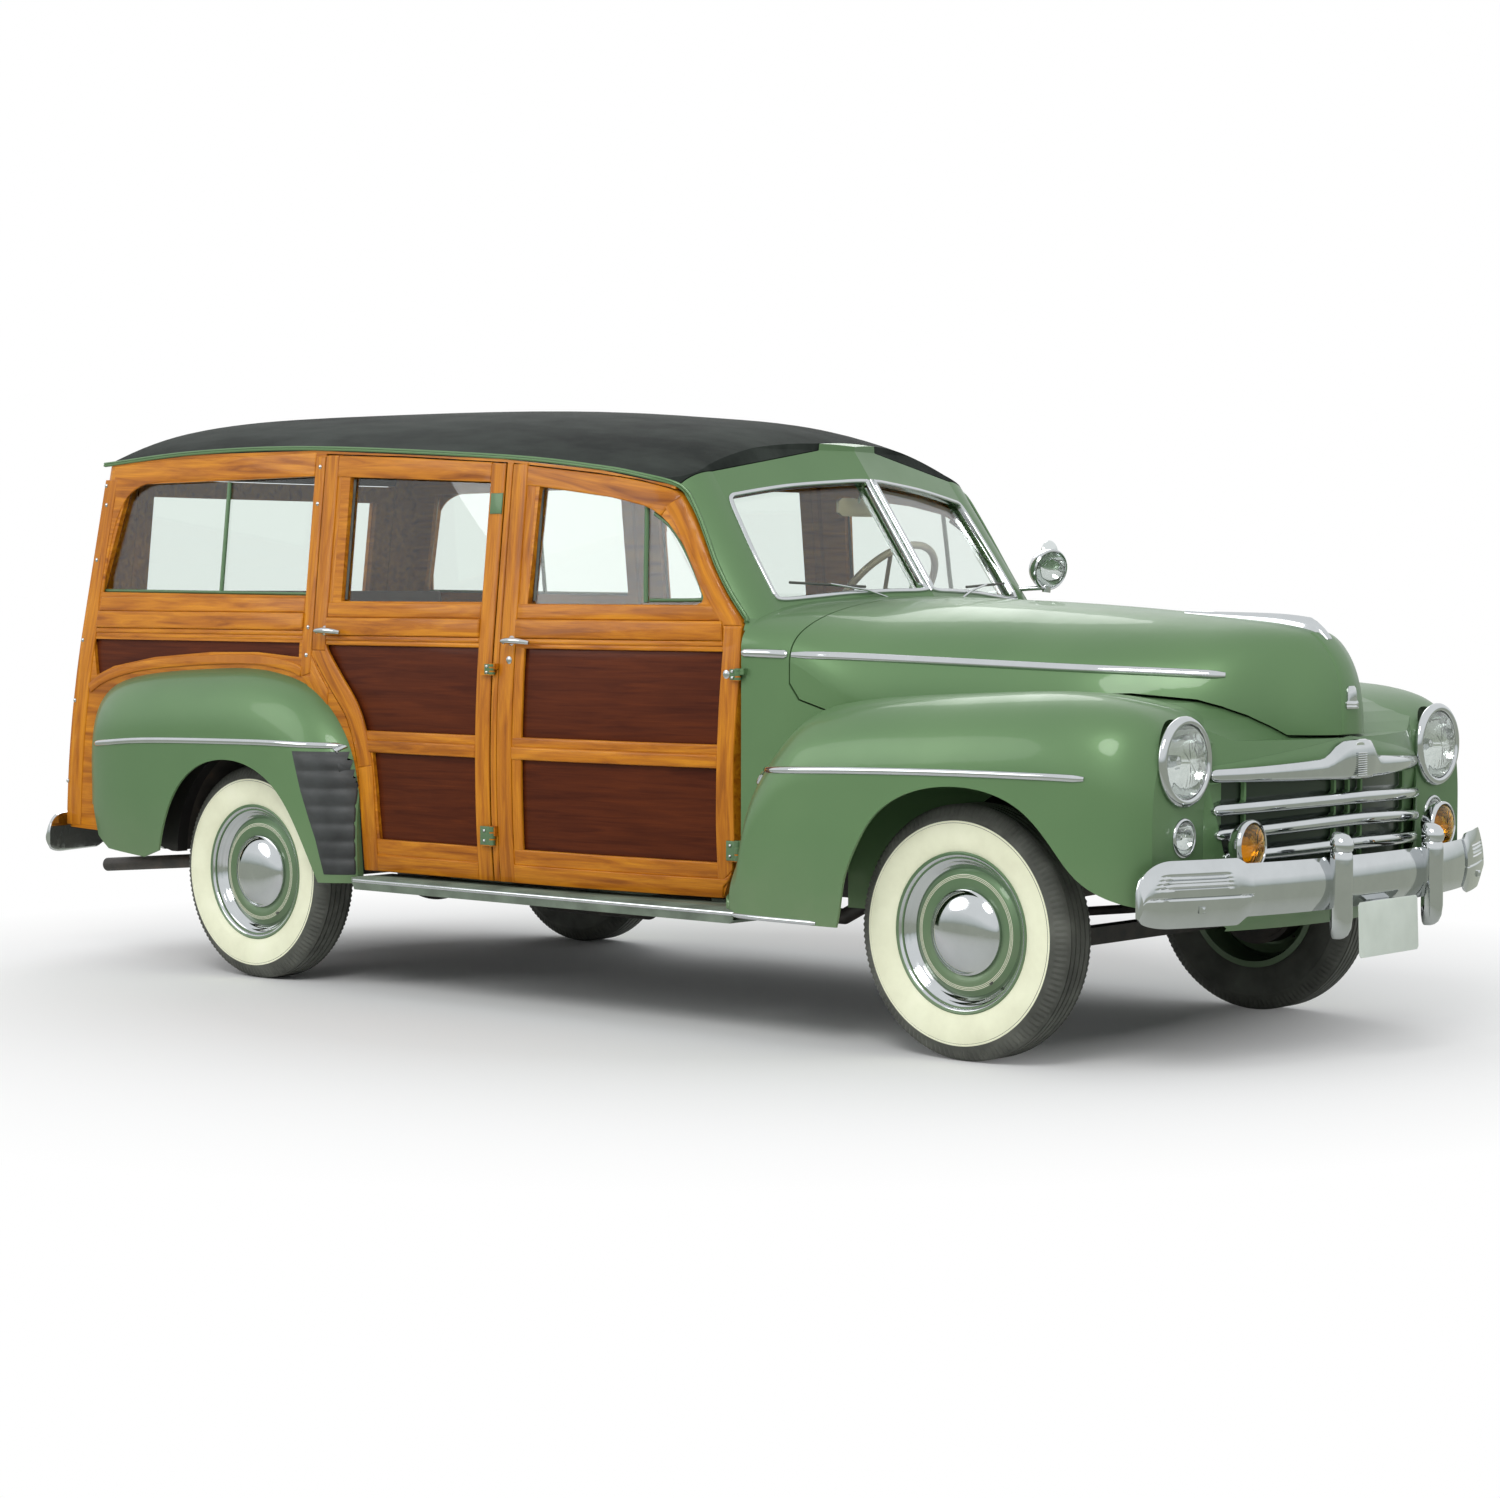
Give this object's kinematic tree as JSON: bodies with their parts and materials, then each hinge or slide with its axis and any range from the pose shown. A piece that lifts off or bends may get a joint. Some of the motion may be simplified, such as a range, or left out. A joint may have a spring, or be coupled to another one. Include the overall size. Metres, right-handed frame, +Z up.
{
  "type": "station wagon",
  "caption": "Late 1940s wooden-bodied station wagon with bulbous steel fenders, side doors, a split tail and a fabric roof.",
  "frame": {"origin": "middle of the footprint on the floor", "axes": "+X forward, +Y to the car's left, +Z up"},
  "size_m": [5.005, 1.8642, 1.8897],
  "materials": {
    "body_paint": "gloss metallic",
    "wheel_paint": "gloss",
    "varnished_wood": "gloss varnish",
    "roof_fabric": "matte coated fabric",
    "bright_metal": "polished",
    "clear_glass": "clear",
    "tyre_rubber": "matte",
    "seat_leather": "satin",
    "chassis_black": "satin",
    "dash_paint": "gloss",
    "cream_plastic": "gloss",
    "cast_metal": "painted",
    "board_rubber": "ribbed matte"
  },
  "bodies": {
    "chassis": {"cowl_body": "body_paint", "dashboard": "dash_paint", "engine": "cast_metal", "exhaust": "chassis_black", "floor_pan": "chassis_black", "frame_rails": "chassis_black", "front_apron": "body_paint", "front_axle": "chassis_black", "front_bumper": "bright_metal", "front_fender_left": "body_paint", "front_fender_right": "body_paint", "front_seat": "seat_leather", "fuel_tank": "chassis_black", "grille": "bright_metal", "headlamps": "bright_metal", "parking_lamps": "bright_metal", "quarter_glass": "clear_glass", "radiator": "chassis_black", "rear_axle": "chassis_black", "rear_bumper": "bright_metal", "rear_fender_left": "body_paint", "rear_fender_right": "body_paint", "rear_pan": "body_paint", "rear_seats": "seat_leather", "roof": "roof_fabric", "running_boards": "board_rubber", "windshield": "clear_glass", "wood_side_left": "varnished_wood", "wood_side_right": "varnished_wood"},
    "hood": {"hood": "body_paint"},
    "front_door_left": {"front_door_left": "varnished_wood", "front_door_glass_left": "clear_glass"},
    "front_door_right": {"front_door_right": "varnished_wood", "front_door_glass_right": "clear_glass"},
    "rear_door_left": {"rear_door_left": "varnished_wood", "rear_door_glass_left": "clear_glass"},
    "rear_door_right": {"rear_door_right": "varnished_wood", "rear_door_glass_right": "clear_glass"},
    "tailgate": {"tailgate": "varnished_wood"},
    "liftgate": {"liftgate": "varnished_wood", "liftgate_glass": "clear_glass"},
    "steering_wheel": {"steering_wheel": "cream_plastic"},
    "knuckle_left": {"knuckle_left": "chassis_black"},
    "knuckle_right": {"knuckle_right": "chassis_black"},
    "wheel_front_left": {"wheel_front_left": "wheel_paint", "tyre_front_left": "tyre_rubber"},
    "wheel_front_right": {"wheel_front_right": "wheel_paint", "tyre_front_right": "tyre_rubber"},
    "wheel_rear_left": {"wheel_rear_left": "wheel_paint", "tyre_rear_left": "tyre_rubber"},
    "wheel_rear_right": {"wheel_rear_right": "wheel_paint", "tyre_rear_right": "tyre_rubber"}
  },
  "joints": [
    {"name": "hood_hinge", "type": "hinge", "parent": "chassis", "child": "hood", "pos_m": [0.9285, 0, 1.262], "axis": [0, -1, 0], "range_deg": [0, 48]},
    {"name": "tailgate_hinge", "type": "hinge", "parent": "chassis", "child": "tailgate", "pos_m": [-2.3475, 0, 0.642], "axis": [0, -1, 0], "range_deg": [0, 90]},
    {"name": "liftgate_hinge", "type": "hinge", "parent": "chassis", "child": "liftgate", "pos_m": [-2.2195, 0, 1.669], "axis": [0, 1, 0], "range_deg": [0, 88]},
    {"name": "steering_wheel_turn", "type": "hinge", "parent": "chassis", "child": "steering_wheel", "pos_m": [0.4045, 0.38, 1.262], "axis": [0.788, 0, -0.6157], "range_deg": [-540, 540]},
    {"name": "front_door_left_hinge", "type": "hinge", "parent": "chassis", "child": "front_door_left", "pos_m": [0.7755, 0.75982, 0.8], "axis": [0, 0, -1], "range_deg": [0, 68]},
    {"name": "rear_door_left_hinge", "type": "hinge", "parent": "chassis", "child": "rear_door_left", "pos_m": [-0.165, 0.828, 0.8], "axis": [0, 0, -1], "range_deg": [0, 68]},
    {"name": "steer_left", "type": "hinge", "parent": "chassis", "child": "knuckle_left", "pos_m": [1.6175, 0.64, 0.352], "axis": [0, 0, -1], "range_deg": [-30, 30]},
    {"name": "wheel_front_left_spin", "type": "hinge", "parent": "knuckle_left", "child": "wheel_front_left", "pos_m": [1.6175, 0.7365, 0.352], "axis": [0, 1, 0], "continuous": true},
    {"name": "wheel_rear_left_spin", "type": "hinge", "parent": "chassis", "child": "wheel_rear_left", "pos_m": [-1.2785, 0.762, 0.352], "axis": [0, 1, 0], "continuous": true},
    {"name": "front_door_right_hinge", "type": "hinge", "parent": "chassis", "child": "front_door_right", "pos_m": [0.7755, -0.75982, 0.8], "axis": [0, 0, 1], "range_deg": [0, 68]},
    {"name": "rear_door_right_hinge", "type": "hinge", "parent": "chassis", "child": "rear_door_right", "pos_m": [-0.165, -0.828, 0.8], "axis": [0, 0, 1], "range_deg": [0, 68]},
    {"name": "steer_right", "type": "hinge", "parent": "chassis", "child": "knuckle_right", "pos_m": [1.6175, -0.64, 0.352], "axis": [0, 0, -1], "range_deg": [-30, 30]},
    {"name": "wheel_front_right_spin", "type": "hinge", "parent": "knuckle_right", "child": "wheel_front_right", "pos_m": [1.6175, -0.7365, 0.352], "axis": [0, 1, 0], "continuous": true},
    {"name": "wheel_rear_right_spin", "type": "hinge", "parent": "chassis", "child": "wheel_rear_right", "pos_m": [-1.2785, -0.762, 0.352], "axis": [0, 1, 0], "continuous": true}
  ],
  "couplings": [
    {"joint": "steer_left", "follows": "steering_wheel_turn", "ratio": 0.055556},
    {"joint": "steer_right", "follows": "steering_wheel_turn", "ratio": 0.055556}
  ]
}
